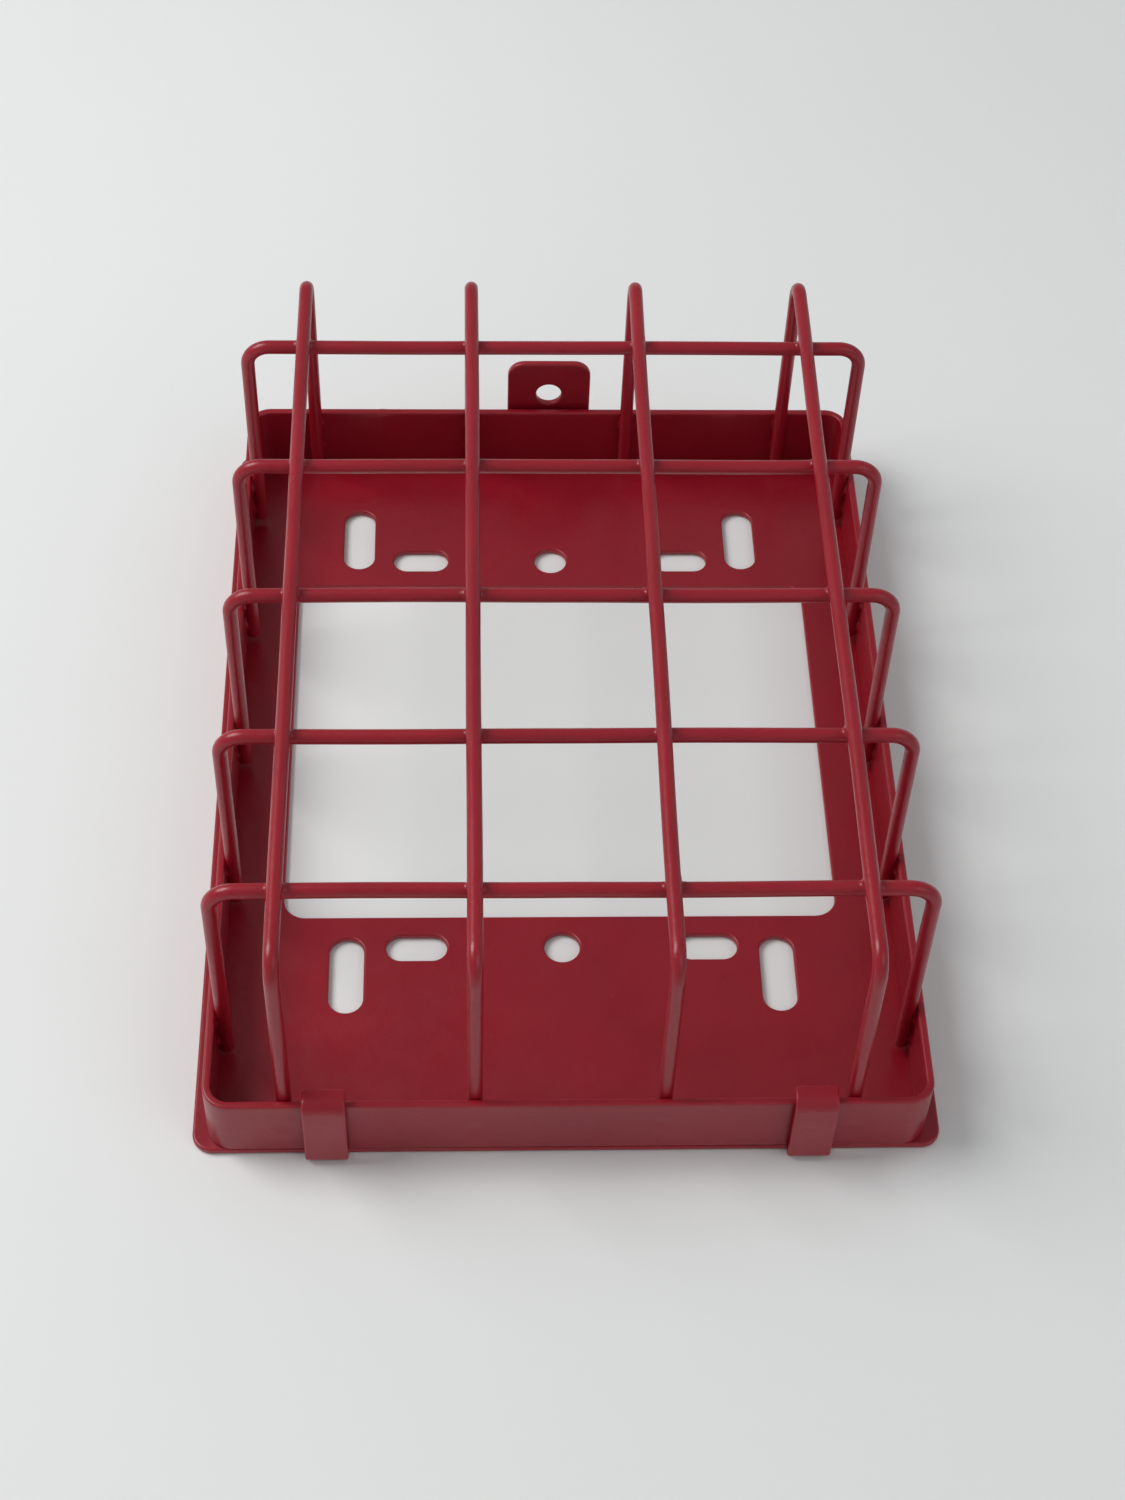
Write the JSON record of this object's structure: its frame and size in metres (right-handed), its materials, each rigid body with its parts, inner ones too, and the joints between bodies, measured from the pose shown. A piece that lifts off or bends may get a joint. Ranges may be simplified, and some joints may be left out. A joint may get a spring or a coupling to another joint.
{
  "type": "wire guard",
  "caption": "Surface-mounted wire guard: a welded wire cage on a steel rim, hooked to a flat back plate with a large opening, screw slots and a locking tab.",
  "frame": {"origin": "middle of the object on the back face of its plate", "axes": "+Z out of the mounting surface, through the cage; +Y along the long side, from the hooks to the locking tab; +X along the short side"},
  "size_m": [0.1124, 0.15, 0.0469],
  "materials": {
    "coated_sheet": "semi-gloss red coating over sheet steel, with a faint orange peel",
    "coated_wire": "semi-gloss red coating over steel wire, thicker at the welds"
  },
  "bodies": {
    "root": {"back_plate": "coated_sheet"},
    "cage": {"rim_frame": "coated_sheet", "long_wire_1": "coated_wire", "long_wire_2": "coated_wire", "long_wire_3": "coated_wire", "long_wire_4": "coated_wire", "cross_wire_1": "coated_wire", "cross_wire_2": "coated_wire", "cross_wire_3": "coated_wire", "cross_wire_4": "coated_wire", "cross_wire_5": "coated_wire"}
  },
  "joints": [
    {"name": "cage_swing", "type": "hinge", "parent": "root", "child": "cage", "pos_m": [0, -0.0727, 0.0132], "axis": [1, 0, 0], "range_deg": [0, 105]}
  ]
}
